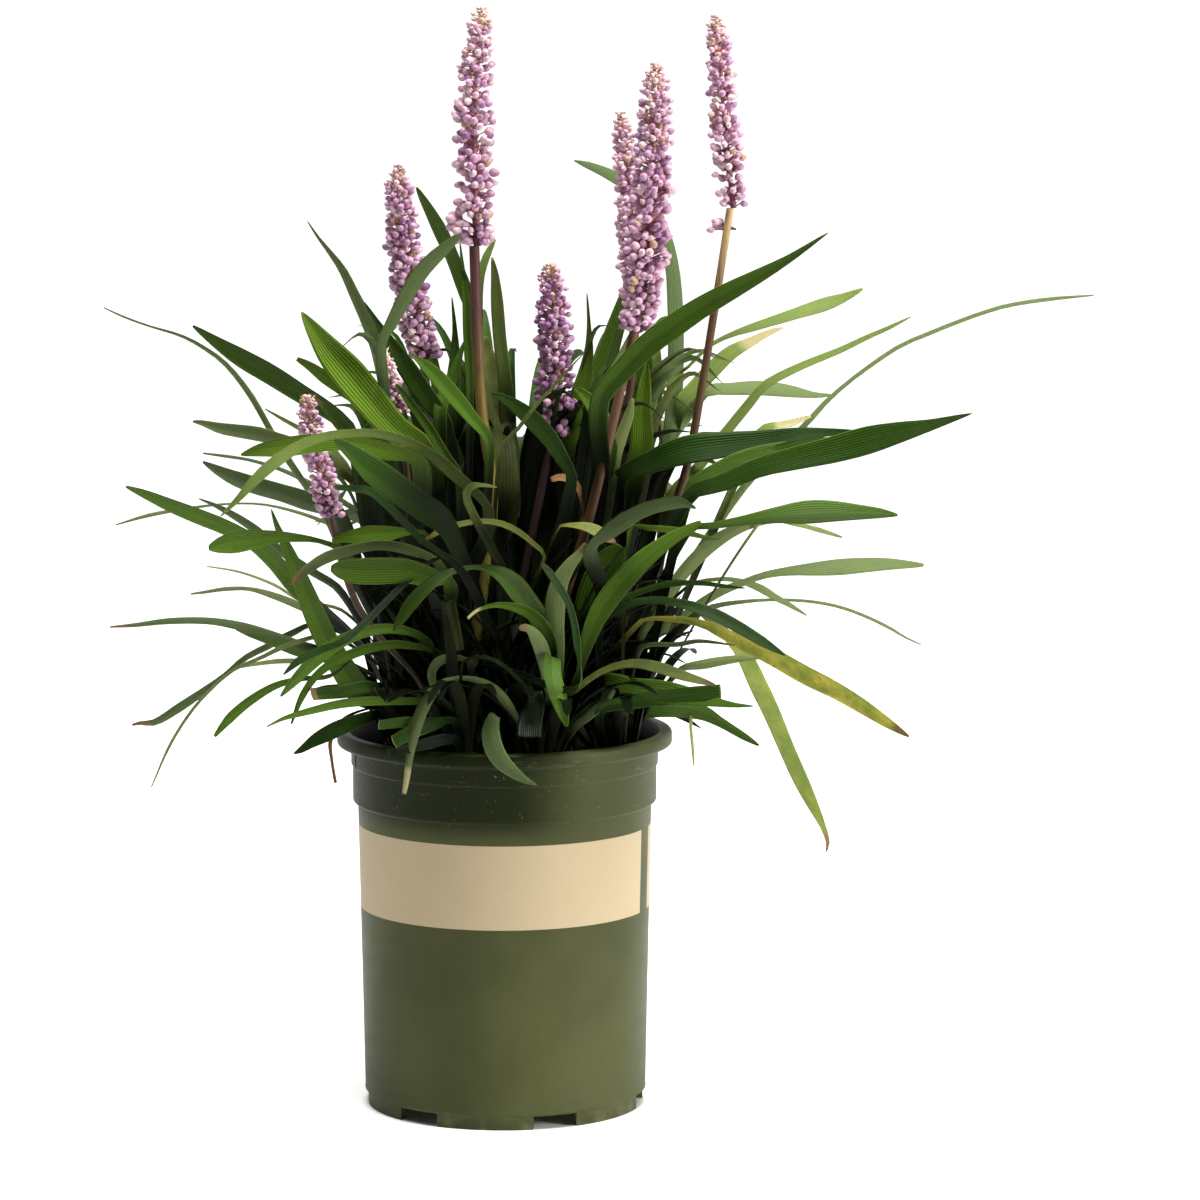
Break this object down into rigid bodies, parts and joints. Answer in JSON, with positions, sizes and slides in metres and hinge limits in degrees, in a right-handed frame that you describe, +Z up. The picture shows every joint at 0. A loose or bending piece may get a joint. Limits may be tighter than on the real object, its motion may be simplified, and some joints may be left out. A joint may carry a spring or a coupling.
{
  "type": "potted liriope",
  "caption": "Flowering lilyturf in a round nursery pot: arching strap leaves, lilac bud spikes on brown stems, potting mix, moulded green pot with a plain cream band.",
  "frame": {"origin": "middle of the pot's underside, on the ground", "axes": "+Z up along the pot's axis, -Y towards the front of the plant, +X to its right seen from the front"},
  "size_m": [0.5063, 0.4498, 0.5506],
  "materials": {
    "pot": "semi-gloss moulded polypropylene, dusty, with a bare printed cream band",
    "soil": "coarse dark potting mix with bark and dead leaf pieces",
    "leaf": "satin leaf with fine parallel veins, paler grey underneath",
    "stem": "satin flower stem, brown purple to olive",
    "buds": "waxy lilac buds on a pink purple axis"
  },
  "bodies": {
    "root": {"pot": "pot", "soil": "soil", "flower_stem_1": "stem", "flower_head_1": "buds", "flower_stem_2": "stem", "flower_head_2": "buds", "flower_stem_3": "stem", "flower_head_3": "buds", "flower_stem_4": "stem", "flower_head_4": "buds", "flower_stem_5": "stem", "flower_head_5": "buds", "flower_stem_6": "stem", "flower_head_6": "buds", "flower_stem_7": "stem", "flower_head_7": "buds", "flower_stem_8": "stem", "flower_head_8": "buds", "leaf_tuft_1": "leaf", "leaf_tuft_2": "leaf", "leaf_tuft_3": "leaf", "leaf_tuft_4": "leaf", "leaf_tuft_5": "leaf", "leaf_tuft_6": "leaf", "leaf_tuft_7": "leaf", "leaf_tuft_8": "leaf", "leaf_tuft_9": "leaf", "leaf_tuft_10": "leaf", "leaf_tuft_11": "leaf", "leaf_tuft_12": "leaf", "leaf_tuft_13": "leaf", "leaf_tuft_14": "leaf", "leaf_tuft_15": "leaf"}
  },
  "joints": []
}
